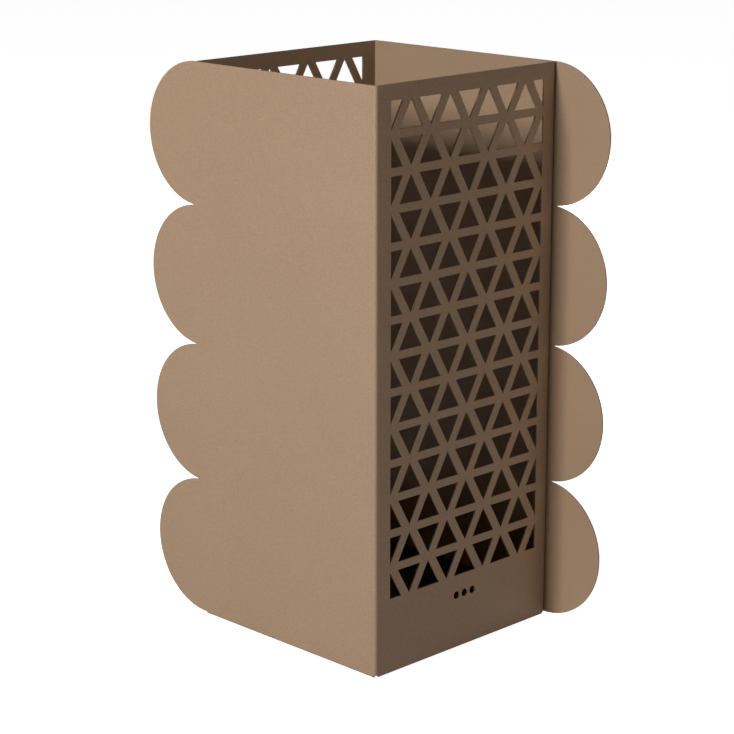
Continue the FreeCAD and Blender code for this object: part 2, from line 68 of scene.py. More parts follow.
shell_low, shell_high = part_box("front_shell")
plate_low, plate_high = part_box("base_plate")
sheet = plate_high.z - plate_low.z       # the plate is of the same sheet
half_side = shell_high.x                 # outer face of a panel, from the middle
inner_half = half_side - sheet           # its inner face
seam_face = shell_high.y                 # outer face of the seam flange
seam_gap = inner_half - seam_face        # the welds of the studs keep the sheets apart
sheet_bottom = shell_low.z
sheet_top = shell_high.z
lobe_radius = -shell_low.x - inner_half  # the wing reaches this far past the corner

bend = 2.5 * MM                          # outside radius of every fold
fold_half = half_side - 3.0 * MM         # the plain panel's bottom fold stops here,
pierced_half = half_side - 5.0 * MM      # and the pierced panel's here
fold_top = sheet_bottom + bend
seam_flange = 15.0 * MM
bottom_flange = 30.0 * MM
mitre_gap = 0.4 * MM
BEND_STEPS = 5
LOBE_STEPS = 36                          # edges round each half circle
LOBES = 4

print("side %.1f mm, sheet %.1f mm, height %.1f mm, lobes of radius %.2f mm" % (
    2 * half_side / MM, sheet / MM, (sheet_top - sheet_bottom) / MM, lobe_radius / MM))

# %% [markdown]
# ## Working by hand, in code
#
# Blender's operators act on whatever is selected, so the helpers below start by selecting
# nothing, and then pick edges or faces by where they are. `add` places a primitive and
# writes its place into its mesh, which leaves the object itself at the origin.

# %% Helpers for modelling
NEAR = 0.02 * MM


def start_clean():
    """Leave edit mode and select nothing."""
    if bpy.context.object and bpy.context.object.mode != "OBJECT":
        bpy.ops.object.mode_set(mode="OBJECT")
    bpy.ops.object.select_all(action="DESELECT")


def take(piece):
    """Make one object the only selected and active one."""
    start_clean()
    piece.select_set(True)
    bpy.context.view_layer.objects.active = piece
    return piece


def add(primitive, name, at=(0, 0, 0), size=(1, 1, 1), turn=(0, 0, 0), **settings):
    """Add a primitive at its size and place, with the place written into its mesh."""
    start_clean()
    getattr(bpy.ops.mesh, "primitive_%s_add" % primitive)(**settings)
    piece = bpy.context.object
    piece.name = name
    piece.data.name = name
    piece.scale = size
    piece.rotation_euler = turn
    piece.location = at
    bpy.ops.object.transform_apply(location=True, rotation=True, scale=True)
    return piece


def edit(piece):
    take(piece)
    bpy.ops.object.mode_set(mode="EDIT")
    bpy.ops.mesh.select_all(action="SELECT")


def pick(kind, test):
    """In edit mode, select only the vertices, edges or faces that pass the test.

    The test is given the middle of a face, and both ends of an edge have to pass it.
    """
    bpy.ops.mesh.select_mode(type=kind)
    bpy.ops.mesh.select_all(action="DESELECT")
    mesh = bmesh.from_edit_mesh(bpy.context.object.data)
    if kind == "FACE":
        chosen = [face for face in mesh.faces if test(face.calc_center_median())]
    elif kind == "EDGE":
        chosen = [edge for edge in mesh.edges if all(test(vert.co) for vert in edge.verts)]
    else:
        chosen = [vert for vert in mesh.verts if test(vert.co)]
    for item in chosen:
        item.select_set(True)
    mesh.select_flush_mode()
    bmesh.update_edit_mesh(bpy.context.object.data)
    return len(chosen)


def cut(at, normal):
    """Bisect what is selected with a plane."""
    bpy.ops.mesh.bisect(plane_co=at, plane_no=normal, threshold=NEAR / 10)


def pull(x=0.0, y=0.0, z=0.0):
    """Extrude what is selected along a straight line."""
    bpy.ops.mesh.extrude_region_move(TRANSFORM_OT_translate={"value": (x, y, z)})


def fold(centre, axis, degrees, steps=BEND_STEPS):
    """Spin the selected edges round an axis, as a press brake folds a sheet.

    Spin turns clockwise for a positive angle, so the sign is changed to the usual one.
    """
    bpy.ops.mesh.spin(steps=steps, angle=-math.radians(degrees), center=centre, axis=axis)


def tidy(piece):
    """Merge what touches, turn the faces outwards and leave edit mode."""
    bpy.ops.mesh.select_all(action="SELECT")
    bpy.ops.mesh.remove_doubles(threshold=NEAR)
    bpy.ops.mesh.normals_make_consistent(inside=False)
    bpy.ops.object.mode_set(mode="OBJECT")
    return piece


def modify(piece, kind, **settings):
    """Add a modifier, set it and apply it."""
    take(piece)
    modifier = piece.modifiers.new(kind.title(), kind)
    for name, value in settings.items():
        setattr(modifier, name, value)
    bpy.ops.object.modifier_apply(modifier=modifier.name)
    return piece


def drill(piece, tools, operation="DIFFERENCE"):
    """Boolean each tool into the piece, and throw the tool away."""
    for tool in tools:
        modify(piece, "BOOLEAN", operation=operation, object=tool, solver="EXACT")
        bpy.data.objects.remove(tool)
    return piece


def break_edges(piece, width, segments=2, angle=40):
    """A small round on every sharp edge, and normals that keep the flats flat."""
    modify(piece, "BEVEL", width=width, segments=segments, limit_method="ANGLE",
           angle_limit=math.radians(angle), use_clamp_overlap=False, loop_slide=False)
    take(piece)
    bpy.ops.object.shade_smooth_by_angle(angle=math.radians(35))
    modify(piece, "WEIGHTED_NORMAL", weight=80, keep_sharp=True)
    return piece


def copy_of(piece, name, shift=(0, 0, 0), turn=(0, 0, 0)):
    """A copy with its own mesh, turned in degrees about the origin and then moved."""
    take(piece)
    bpy.ops.object.duplicate(linked=False)
    twin = bpy.context.object
    twin.name = name
    twin.data.name = name
    twin.rotation_euler = [math.radians(angle) for angle in turn]
    twin.location = shift
    bpy.ops.object.transform_apply(location=True, rotation=True, scale=True)
    return twin


def join(name, parts):
    """Join loose copies into one object."""
    start_clean()
    for part in parts:
        part.select_set(True)
    bpy.context.view_layer.objects.active = parts[0]
    bpy.ops.object.join()
    parts[0].name = name
    parts[0].data.name = name
    return parts[0]


def report(piece):
    mesh = piece.data
    print("%-22s %6d vertices %6d faces" % (piece.name, len(mesh.vertices), len(mesh.polygons)))
    return piece


# %% [markdown]
# ## The lattice, drawn flat
#
# Fourteen rows of equilateral triangles are cut out of the right-hand panel, pointing up
# and down in turn, and the next row has them the other way round. The pattern repeats after
# two rows, so only two are drawn: a plane is bisected along every edge of every triangle,
# the faces inside the triangles are deleted, and an array repeats the tile. A boolean with
# 126 prisms would give the same holes, but a far untidier mesh.

# %% Sizes of the lattice
hole_side = 27.0 * MM
hole_height = hole_side * math.sqrt(3) / 2
hole_column = 23.0 * MM                  # from one triangle of a row to the next
hole_row = 30.45 * MM                    # from one row to the next
window_half = 92.0 * MM                  # the lattice stops in a straight line
window_top = sheet_bottom + 486.4 * MM
ROW_PAIRS = 7
LAST_PLACE = 4                           # places run from -4 to 4 across a row

bar = hole_row - hole_height
tile_height = 2 * hole_row
tile_top = window_top + bar / 2
panel_low = -half_side + bend            # where the flat of the pierced panel begins
panel_high = seam_face - bend            # and ends


# %% Draw and repeat the tile
def triangles():
    """Every triangle of the two rows: its middle, the level of its base and of its tip."""
    for row in (0, 1):
        high = window_top - hole_row * row
        low = high - hole_height
        for place in range(-LAST_PLACE, LAST_PLACE + 1):
            points_up = (place + row) % 2 == 1
            yield hole_column * place, low if points_up else high, high if points_up else low


def in_a_triangle(point):
    for middle, base, tip in triangles():
        along = (point.z - base) / (tip - base)
        if 0 < along < 1 and abs(point.y - middle) < hole_side / 2 * (1 - along):
            return True
    return False


def draw_lattice():
    middle_y = (panel_low + panel_high) / 2
    panel = add("plane", "front_sheet", at=(half_side, middle_y, tile_top - tile_height / 2),
                size=(tile_height / 2, (panel_high - panel_low) / 2, 1),
                turn=(0, math.radians(90), 0))
    edit(panel)
    for side in (-1, 1):
        bpy.ops.mesh.select_all(action="SELECT")
        cut((half_side, window_half * side, 0), (0, 1, 0))
    for row in (0, 1):
        for level in (window_top - hole_row * row, window_top - hole_row * row - hole_height):
            pick("FACE", lambda point: abs(point.y) < window_half)
            cut((half_side, 0, level), (0, 0, 1))
    for middle, base, tip in triangles():
        low, high = sorted((base, tip))
        for side in (-1, 1):
            corner = middle + hole_side / 2 * side
            if abs(corner) > window_half:
                continue
            pick("FACE", lambda point: abs(point.y) < window_half and low < point.z < high)
            cut((half_side, corner, base), (0, tip - base, corner - middle))
    removed = pick("FACE", in_a_triangle)
    bpy.ops.mesh.delete(type="FACE")
    bpy.ops.object.mode_set(mode="OBJECT")
    print("triangles cut out of one tile:", removed)
    modify(panel, "ARRAY", count=ROW_PAIRS, use_relative_offset=False,
           use_constant_offset=True, constant_offset_displace=(0, 0, -tile_height),
           use_merge_vertices=True, merge_threshold=NEAR)
    return panel


front_sheet = report(draw_lattice())

# %% [markdown]
# ## Folding the sheet
#
# The flat lattice is now the middle of a long strip. Extruding its borders gives the bands
# above and below. Spinning an upright edge by ninety degrees about the centre of a bend is
# just what the press brake does, and extruding on from there gives the plain panel on one
# side and the narrow seam flange on the other. The bottom flanges are folded the same way,
# from an edge that stops short of the corners, so the bend reliefs appear by themselves.

# %% Bands above and below the lattice
def at_level(value, tolerance=NEAR):
    return lambda point: abs(point.z - value) < tolerance


def make_bands(panel):
    edit(panel)
    pick("EDGE", at_level(tile_top))
    pull(z=sheet_top - tile_top)
    tile_bottom = tile_top - ROW_PAIRS * tile_height
    pick("EDGE", at_level(tile_bottom))
    pull(z=fold_top - tile_bottom)
    tidy(panel)


make_bands(front_sheet)


# %% Two upright folds, the plain panel and the seam flange
def dissolve_tile_joins(test):
    """Dissolve the level joins between tiles where the pattern doesn't reach."""
    pick("EDGE", lambda point: test(point) and fold_top + NEAR < point.z < sheet_top - NEAR)
    mesh = bmesh.from_edit_mesh(bpy.context.object.data)
    for edge in mesh.edges:
        if edge.select and abs(edge.verts[0].co.z - edge.verts[1].co.z) > NEAR:
            edge.select_set(False)
    bmesh.update_edit_mesh(bpy.context.object.data)
    bpy.ops.mesh.dissolve_edges(use_verts=True)


def fold_uprights(panel):
    edit(panel)
    corner_x = half_side - bend
    pick("EDGE", lambda point: abs(point.y - panel_low) < NEAR)
    fold((corner_x, panel_low, 0), (0, 0, 1), -90)
    pull(x=-fold_half - corner_x)
    dissolve_tile_joins(lambda point: point.y < panel_low + NEAR)
    pick("EDGE", lambda point: abs(point.x + fold_half) < NEAR)
    pull(x=fold_half - inner_half)

    pick("EDGE", lambda point: abs(point.y - panel_high) < NEAR
         and abs(point.x - half_side) < NEAR)
    fold((corner_x, panel_high, 0), (0, 0, 1), 90)
    pull(x=-(seam_flange - bend))
    dissolve_tile_joins(lambda point: point.y > panel_high - NEAR)
    tidy(panel)


fold_uprights(front_sheet)


# %% The wing: half discs on the free edge of the plain panel
def add_wing(panel):
    """Each lobe is a half disc. Its first edge from the cusp is drawn with the panel, which
    leaves a slot a hair wide between two lobes, as a laser does."""
    step = math.pi / LOBE_STEPS
    root_x = -inner_half - lobe_radius * math.sin(step)
    drop = lobe_radius * (1 - math.cos(step))
    levels = [sheet_top - lobe_radius * (2 * lobe + 1) for lobe in range(LOBES)]
    wing_low = levels[-1] - lobe_radius
    edit(panel)
    pick("VERT", lambda point: abs(point.x + inner_half) < NEAR
         and abs(point.z - fold_top) < NEAR)
    bpy.ops.transform.translate(value=(0, 0, wing_low - fold_top))
    pick("EDGE", lambda point: abs(point.x + inner_half) < NEAR)
    pull(x=root_x + inner_half)
    for low, move in ((wing_low, drop), (sheet_top, -drop)):
        pick("VERT", lambda point: point.x < -inner_half - NEAR and abs(point.z - low) < NEAR)
        bpy.ops.transform.translate(value=(0, 0, move))
    for level in levels[:-1]:
        for side in (-1, 1):
            pick("FACE", lambda point: point.x < -inner_half)
            cut((0, 0, level - lobe_radius + drop * side), (0, 0, 1))
    bpy.ops.object.mode_set(mode="OBJECT")
    lobes = []
    for level in levels:
        disc = add("circle", "lobe", at=(-inner_half, -half_side, level),
                   turn=(math.radians(90), 0, 0), vertices=2 * LOBE_STEPS,
                   radius=lobe_radius, fill_type="NGON")
        edit(disc)
        bpy.ops.mesh.bisect(plane_co=(root_x, 0, 0), plane_no=(1, 0, 0), threshold=NEAR,
                            clear_outer=True)
        bpy.ops.object.mode_set(mode="OBJECT")
        lobes.append(disc)
    panel = join("front_sheet", [panel] + lobes)
    edit(panel)
    return tidy(panel)


front_sheet = add_wing(front_sheet)


# %% The bottom folds and their mitred flanges
def fold_bottom(panel):
    edit(panel)
    near_end = half_side - bottom_flange
    straight = bottom_flange - bend

    # The flange of the plain panel, folded about a line along X.
    pick("FACE", lambda point: abs(point.y + half_side) < NEAR and abs(point.x) < fold_half)
    cut((fold_half, 0, 0), (1, 0, 0))
    pick("EDGE", lambda point: abs(point.y + half_side) < NEAR
         and abs(point.z - fold_top) < NEAR and abs(point.x) < fold_half + NEAR)
    fold((0, -half_side + bend, fold_top), (1, 0, 0), 90)
    pull(y=straight)
    mitre_end(lambda point: abs(point.y + near_end) < NEAR and point.x > 0, (-1, 0))
    mitre_end(lambda point: abs(point.y + near_end) < NEAR and point.x < 0, (1, 0))

    # The flange of the pierced panel, folded about a line along Y.
    pick("FACE", lambda point: abs(point.x - half_side) < NEAR and point.z < window_low)
    cut((0, -pierced_half, 0), (0, 1, 0))
    pick("EDGE", lambda point: abs(point.x - half_side) < NEAR
         and abs(point.z - fold_top) < NEAR and point.y > -pierced_half - NEAR)
    fold((half_side - bend, 0, fold_top), (0, 1, 0), 90)
    pull(x=-straight)
    mitre_end(lambda point: abs(point.x - near_end) < NEAR and point.y > near_end + NEAR
              and point.z < fold_top - NEAR, (0, -1))
    mitre_end(lambda point: abs(point.x - near_end) < NEAR and point.y < -near_end - NEAR
              and point.z < fold_top - NEAR, (0, 1))
    return tidy(panel)


def mitre_end(test, way):
    """Draw one end of a flange's inner edge back, so that the flange ends on the diagonal."""
    pick("VERT", test)
    back = bottom_flange - (half_side - fold_half) + mitre_gap
    bpy.ops.transform.translate(value=(way[0] * back, way[1] * back, 0))


window_low = window_top - 2 * ROW_PAIRS * hole_row + bar
fold_bottom(front_sheet)
report(front_sheet)

# %% [markdown]
# ## Thickness, holes and broken edges
#
# So far the sheet is only its outer skin. Solidify gives it its 1.5 mm inwards, evenly round
# the bends, which makes the inside radius of each bend 1 mm. The round holes come next, by
# boolean, because a drill needs something solid. Last, a bevel of a fifth of a millimetre
# rounds every cut edge, as thick powder coat does, and those edges catch the light.

# %% Drill bits
stud_inset = 9.0 * MM                    # from the outside of the corner to the studs
stud_levels = [sheet_bottom + 91.0 * MM + 6 * hole_row * place for place in range(3)]
hole_radius = 2.25 * MM
dot_radius = 3.4 * MM
dot_pitch = 10.0 * MM
dot_level = sheet_bottom + 49.0 * MM
EDGE_BREAK = 0.22 * MM

foot_low, foot_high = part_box("foot_front_right")
foot_x = (foot_low.x + foot_high.x) / 2
foot_y = -(foot_low.y + foot_high.y) / 2
BIT_LENGTH = 12.0 * MM
ALONG_X = (0, math.radians(90), 0)
ALONG_Y = (math.radians(90), 0, 0)
UPRIGHT = (0, 0, 0)


def drill_bit(at, radius, turn, sides=32):
    """A bit with its middle at a place, to drill right through."""
    return add("cylinder", "bit", at=at, turn=turn, radius=radius, depth=BIT_LENGTH,
               vertices=sides)


def blind_bit(at, top, radius, sides=32):
    """An upright bit that comes from below and stops at a level."""
    return drill_bit((at[0], at[1], top - BIT_LENGTH / 2), radius, UPRIGHT, sides)


# %% From skin to sheet
def make_solid(panel):
    modify(panel, "SOLIDIFY", thickness=sheet, offset=-1, use_even_offset=True)
    bits = [drill_bit((half_side, dot_pitch * place, dot_level), dot_radius, ALONG_X)
            for place in (-1, 0, 1)]
    bits += [drill_bit((half_side - stud_inset, inner_half, level), hole_radius, ALONG_Y)
             for level in stud_levels]
    bits += [drill_bit((foot_x * side, -foot_y, sheet_bottom), hole_radius, UPRIGHT)
             for side in (-1, 1)]
    drill(panel, bits)
    break_edges(panel, EDGE_BREAK)
    return panel


make_solid(front_sheet)
report(front_sheet)

# %% [markdown]
# ## The second sheet
#
# The tower is two-fold symmetric: turn the finished sheet half round about the upright axis
# and it becomes the other one. A copy with its own mesh keeps the two pieces separate, as
# they are on the bench.

# %% The rear sheet
rear_sheet = report(copy_of(front_sheet, "rear_sheet", turn=(0, 0, 180)))
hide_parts("front_shell")
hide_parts("rear_shell")

# %% [markdown]
# ## The base plate
#
# A flat steel square lies on the turned-in flanges and ties the two sheets together. It is
# a plane whose corners are bevelled round, thickened and drilled like the sheets.

# %% Rounded squares and the base plate
def rounded_square(name, half, corner, level, segments=8):
    """A flat square face with round corners, facing up."""
    square = add("plane", name, at=(0, 0, level), size=(half, half, 1))
    edit(square)
    bpy.ops.mesh.bevel(offset=corner, segments=segments, affect="VERTICES")
    bpy.ops.object.mode_set(mode="OBJECT")
    return square


plate_corner = 9.0 * MM


def make_base_plate():
    plate = rounded_square("base_plate_steel", plate_high.x, plate_corner, plate_high.z)
    modify(plate, "SOLIDIFY", thickness=sheet, offset=-1)
    bits = [drill_bit((foot_x * x_side, foot_y * y_side, plate_high.z), hole_radius, UPRIGHT)
            for x_side in (-1, 1) for y_side in (-1, 1)]
    drill(plate, bits)
    break_edges(plate, EDGE_BREAK)
    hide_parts("base_plate")
    return report(plate)


base_plate = make_base_plate()

# %% [markdown]
# ## The drip tray
#
# The tray is injection moulded: an even wall that leans outwards so that it leaves the
# mould, a turned-out rim, ribs that keep umbrella tips out of the water, and four hollow
# domes that clear the nuts underneath. It is drawn as the inside skin of the tray, pulled
# up and out of its floor, and then thickened outwards. The domes and ribs are joined on.

# %% The tray
tray_low, tray_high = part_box("drip_tray")
tray_floor = tray_low.z + 1.8 * MM
tray_wall = tray_floor - tray_low.z
tray_foot_half = 101.5 * MM
tray_corner = 25.0 * MM
rim_round = 0.5 * MM                     # small round where the wall turns into the rim
DRAFT = math.tan(math.radians(3))
dome_radius = 9.5 * MM
dome_top = tray_low.z + 9.0 * MM
dome_wall = 1.6 * MM
dome_round = 1.6 * MM
TRAY_EDGE = 0.35 * MM
rib_width = 1.6 * MM
rib_height = 2.0 * MM
rib_length = 150.0 * MM
rib_pitch = 22.0 * MM
RIBS = 7


def widen(amount):
    """Scale the selected outline outwards about the upright axis."""
    bpy.ops.transform.resize(value=(amount, amount, 1), center_override=(0, 0, 0))


def tray_skin():
    """The tray's inside skin: floor, leaning wall and turned-out rim."""
    inner = tray_foot_half - tray_wall
    skin = rounded_square("tray", inner, tray_corner - tray_wall, tray_floor)
    wall_rise = tray_high.z - tray_floor - rim_round
    lean = 1 + DRAFT * wall_rise / inner
    edit(skin)
    bpy.ops.mesh.select_mode(type="EDGE")
    bpy.ops.mesh.region_to_loop()
    pull(z=wall_rise)
    widen(lean)
    pull(z=rim_round)
    widen(1 + rim_round / inner)
    pull()
    widen(tray_high.x / (inner * lean * (1 + rim_round / inner)))
    return tidy(skin)


def post(at, radius, low, high, top_round):
    """An upright round post with a rounded top."""
    made = add("cylinder", "post", at=(at[0], at[1], (low + high) / 2), radius=radius,
               depth=high - low, vertices=40)
    edit(made)
    pick("EDGE", lambda point: point.z > high - NEAR)
    bpy.ops.mesh.bevel(offset=top_round, segments=3)
    bpy.ops.object.mode_set(mode="OBJECT")
    return made


def make_tray():
    tray = tray_skin()
    modify(tray, "SOLIDIFY", thickness=tray_wall, offset=-1, use_even_offset=True)
    domes = []
    hollows = []
    for x_side in (-1, 1):
        for y_side in (-1, 1):
            spot = (foot_x * x_side, foot_y * y_side)
            domes.append(post(spot, dome_radius, tray_low.z + tray_wall / 2, dome_top,
                              dome_round))
            hollows.append(post(spot, dome_radius - dome_wall, tray_low.z - tray_wall,
                                dome_top - dome_wall, dome_round / 2))
    ribs = [rib_bar(rib_pitch * place) for place in range(-(RIBS // 2), RIBS // 2 + 1)]
    drill(tray, domes + ribs, operation="UNION")
    drill(tray, hollows)
    break_edges(tray, TRAY_EDGE)
    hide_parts("drip_tray")
    return tray


def rib_bar(x):
    """One rib, sunk into the floor so that the union has no shared face."""
    low = tray_low.z + tray_wall / 2
    high = tray_floor + rib_height
    return add("cube", "rib", at=(x, 0, (low + high) / 2),
               size=(rib_width / 2, rib_length / 2, (high - low) / 2))


drip_tray = report(make_tray())

# %% [markdown]
# ## Rubber feet
#
# A foot is turned in one go: a short plug, a little narrower at the floor, with a recess
# from below that hides the screw's head. One is modelled at the front right and copied.

# %% Feet
recess_radius = 4.6 * MM
recess_depth = 2.6 * MM
foot_round = 0.7 * MM
FOOT_EDGE = 0.18 * MM
FOOT_DRAFT = 7.7 / 8.5                   # its width at the floor over its width at the top


def make_foot():
    radius = (foot_high.x - foot_low.x) / 2
    spot = Vector((foot_x, -foot_y, (foot_low.z + foot_high.z) / 2))
    foot = add("cylinder", "foot_pad_front_right", at=spot, radius=radius,
               depth=foot_high.z - foot_low.z, vertices=48)
    edit(foot)
    pick("VERT", at_level(foot_low.z))
    bpy.ops.transform.resize(value=(FOOT_DRAFT, FOOT_DRAFT, 1), center_override=spot)
    pick("EDGE", at_level(foot_low.z))
    bpy.ops.mesh.bevel(offset=foot_round, segments=4)
    bpy.ops.object.mode_set(mode="OBJECT")
    drill(foot, [
        blind_bit(spot, foot_low.z + recess_depth, recess_radius),
        drill_bit(spot, hole_radius, UPRIGHT),
    ])
    return break_edges(foot, FOOT_EDGE)


feet = {"foot_front_right": make_foot()}
for corner, shift in (("front_left", (-2 * foot_x, 0, 0)),
                      ("rear_right", (0, 2 * foot_y, 0)),
                      ("rear_left", (-2 * foot_x, 2 * foot_y, 0))):
    feet["foot_" + corner] = copy_of(feet["foot_front_right"], "foot_pad_" + corner, shift)
for node, foot in feet.items():
    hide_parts(node)
    report(foot)

# %% [markdown]
# ## Screws, nuts, washers and studs
#
# These are small, but they show as soon as the tray is lifted or the stand is turned over.
# Each is modelled once, standing on the origin, and copied to its places. A thread is a
# stack of shallow rings: at this size a true helix would look the same. A nut is a
# hexagon cut by a rounded disc, which is how the chamfer on a real nut comes about.

# %% One of each fastener
thread_radius = 2.0 * MM
thread_hole = 2.1 * MM                   # in a nut
thread_pitch = 0.7 * MM
THREAD_DEPTH = 0.86                      # root over crest
nut_flats = 7.0 * MM
nut_height = 3.2 * MM
nut_chamfer = 0.55 * MM
cap_height = 5.5 * MM
cap_round = 2.0 * MM
cap_inset = 0.25 * MM                    # from the flats of the nut to the cap
cap_wall = 1.0 * MM
washer_radius = 4.5 * MM
washer_thick = 0.8 * MM
head_radius = 3.8 * MM
head_height = 2.2 * MM
head_round = 1.3 * MM
socket_flats = 2.5 * MM
socket_depth = 1.3 * MM
weld_radius = 2.75 * MM
NUT_EDGE = 0.08 * MM
WASHER_EDGE = 0.12 * MM


def make_thread(name, low, high):
    """A round bar of shallow rings with a chamfered end."""
    bar = add("circle", name, at=(0, 0, low), radius=thread_radius, vertices=24,
              fill_type="NGON")
    edit(bar)
    step = thread_pitch / 2
    turns = int((high - low) / thread_pitch) - 1
    for turn in range(turns):
        for scale in (THREAD_DEPTH, 1 / THREAD_DEPTH):
            pull(z=step)
            bpy.ops.transform.resize(value=(scale, scale, 1), center_override=(0, 0, 0))
    pull(z=high - low - 2 * step * turns)
    bpy.ops.transform.resize(value=(0.8, 0.8, 1), center_override=(0, 0, 0))
    return tidy(bar)


def make_hexagon(name, height):
    across_corners = nut_flats / math.cos(math.radians(30))
    nut = add("cylinder", name, at=(0, 0, height / 2), vertices=6, depth=height,
              radius=across_corners / 2)
    disc = add("cylinder", "disc", at=(0, 0, height / 2), vertices=48, depth=height,
               radius=across_corners / 2 + 0.05 * MM)
    edit(disc)
    pick("FACE", lambda point: abs(abs(point.z - height / 2) - height / 2) < NEAR)
    bpy.ops.mesh.bevel(offset=nut_chamfer, segments=1)
    bpy.ops.object.mode_set(mode="OBJECT")
    return drill(nut, [disc], operation="INTERSECT")


def make_nut():
    nut = make_hexagon("nut", nut_height)
    drill(nut, [drill_bit((0, 0, 0), thread_hole, UPRIGHT)])
    return break_edges(nut, NUT_EDGE)


def make_cap_nut():
    nut = make_hexagon("cap_nut", nut_height)
    cap = post((0, 0), nut_flats / 2 - cap_inset, nut_height / 2, cap_height, cap_round)
    drill(nut, [cap], operation="UNION")
    drill(nut, [blind_bit((0, 0), cap_height - cap_wall, thread_hole)])
    return break_edges(nut, NUT_EDGE)


def make_washer():
    washer = add("cylinder", "washer", at=(0, 0, washer_thick / 2), radius=washer_radius,
                 depth=washer_thick, vertices=40)
    drill(washer, [drill_bit((0, 0, 0), hole_radius, UPRIGHT)])
    return break_edges(washer, WASHER_EDGE)


def make_screw(low, high):
    """A button-head screw, head down, with its hexagon socket."""
    head = add("cylinder", "screw", at=(0, 0, low + head_height / 2), radius=head_radius,
               depth=head_height, vertices=40)
    edit(head)
    pick("EDGE", at_level(low))
    bpy.ops.mesh.bevel(offset=head_round, segments=5)
    bpy.ops.object.mode_set(mode="OBJECT")
    drill(head, [blind_bit((0, 0), low + socket_depth, socket_flats / math.sqrt(3), sides=6)])
    break_edges(head, NUT_EDGE)
    return join("screw", [head, make_thread("shank", low + head_height - 0.1 * MM, high)])


def make_stud(length):
    """A threaded stud with the collar of weld round its foot."""
    weld = add("cylinder", "weld", at=(0, 0, seam_gap / 2), radius=weld_radius,
               depth=seam_gap, vertices=32)
    return join("stud", [make_thread("stud", 0, length), weld])


screw_low, screw_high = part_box("foot_screws")
screw = make_screw(screw_low.z, screw_high.z)
nut = make_nut()
cap_nut = make_cap_nut()
washer = make_washer()
stud_low, stud_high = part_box("right_seam_studs")
stud = make_stud(stud_high.y - stud_low.y)

# %% Copy the fasteners to their places
def copies(model, node, places, turn=(0, 0, 0)):
    """One piece for a node: a copy of the model at each place."""
    made = [copy_of(model, "%s_%d" % (node, number), place, turn)
            for number, place in enumerate(places)]
    piece = join(node + "_set", made)
    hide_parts(node)
    return report(piece)


corners = [(foot_x * x_side, foot_y * y_side) for x_side in (-1, 1) for y_side in (-1, 1)]
hardware = [
    copies(screw, "foot_screws", [(x, y, 0) for x, y in corners]),
    copies(washer, "foot_washers", [(x, y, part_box("foot_washers")[0].z) for x, y in corners]),
    copies(nut, "foot_nuts", [(x, y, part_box("foot_nuts")[0].z) for x, y in corners]),
]
for seam, side in (("right", 1), ("left", -1)):
    x = (half_side - stud_inset) * side
    for kind, model in (("studs", stud), ("washers", washer), ("nuts", cap_nut)):
        node = "%s_seam_%s" % (seam, kind)
        low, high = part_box(node)
        wall = high.y if side > 0 else low.y
        hardware.append(copies(model, node, [(x, wall, level) for level in stud_levels],
                               turn=(90 * side, 0, 0)))
for model in (screw, nut, cap_nut, washer, stud):
    bpy.data.objects.remove(model)

# %% Bodies
for piece in [front_sheet, rear_sheet, base_plate] + list(feet.values()) + hardware:
    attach(piece, "stand")
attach(drip_tray, "tray")

# %% [markdown]
# ## Shader maths
#
# `Socket` wraps an output of a node tree, so that a formula in a material reads like
# arithmetic. Every operator adds one Math node, and `node` adds any other kind: its
# settings come first, and its inputs after them.

# %% A small class for node trees
class Socket:
    def __init__(self, tree, out):
        self.tree = tree
        self.out = out

    def node(self, kind, settings=None, output=0, **inputs):
        """Add a node, set it up, connect its inputs and give back one of its outputs."""
        made = self.tree.nodes.new(kind)
        for name, value in (settings or {}).items():
            setattr(made, name, value)
        for name, value in inputs.items():
            target = made.inputs[int(name[1:])] if name[0] == "i" and name[1:].isdigit() \
                else made.inputs[name.replace("_", " ")]
            if isinstance(value, Socket):
                self.tree.links.new(value.out, target)
            else:
                target.default_value = value
        return Socket(self.tree, made.outputs[output])

    def maths(self, operation, *others):
        values = {"i%d" % place: value for place, value in enumerate((self,) + others)}
        return self.node("ShaderNodeMath", {"operation": operation}, **values)

    def __add__(self, other):
        return self.maths("ADD", other)

    def __radd__(self, other):
        return self.maths("ADD", other)

    def __sub__(self, other):
        return self.maths("SUBTRACT", other)

    def __rsub__(self, other):
        return (self * -1) + other

    def __mul__(self, other):
        return self.maths("MULTIPLY", other)

    def __rmul__(self, other):
        return self.maths("MULTIPLY", other)

    def clamp(self, low=0.0, high=1.0):
        return self.maths("MAXIMUM", low).maths("MINIMUM", high)

    def smooth(self, low, high):
        """0 below low, 1 above high, with a soft step between."""
        return self.node("ShaderNodeMapRange", {"interpolation_type": "SMOOTHSTEP"},
                         i0=self, i1=low, i2=high, i3=0.0, i4=1.0)

    def noise(self, scale, detail=2.0, roughness=0.5):
        """Fractal noise over this point, about 0 to 1; scale is in cycles per metre."""
        return self.node("ShaderNodeTexNoise", Vector=self, Scale=scale, Detail=detail,
                         Roughness=roughness)

    def cells(self, scale):
        """Distance to the nearest of a scatter of points."""
        return self.node("ShaderNodeTexVoronoi", Vector=self, Scale=scale)

    def mix(self, first, second):
        """Blend two colours by this value."""
        return self.node("ShaderNodeMix", {"data_type": "RGBA"}, output=2,
                         i0=self, i6=first, i7=second)

    def bump(self, distance, strength=1.0):
        return self.node("ShaderNodeBump", Height=self, Distance=distance,
                         Strength=strength)


def new_material(name, **constants):
    """An empty Principled material: the shader, and the point that is being shaded."""
    material = bpy.data.materials.new(name)
    material.use_nodes = True
    tree = material.node_tree
    shader = tree.nodes["Principled BSDF"]
    for key, value in constants.items():
        shader.inputs[key.replace("_", " ")].default_value = value
    point = tree.nodes.new("ShaderNodeTexCoord")
    return material, shader, Socket(tree, point.outputs["Object"])


def connect(shader, **sockets):
    for name, socket in sockets.items():
        socket.tree.links.new(socket.out, shader.inputs[name.replace("_", " ")])


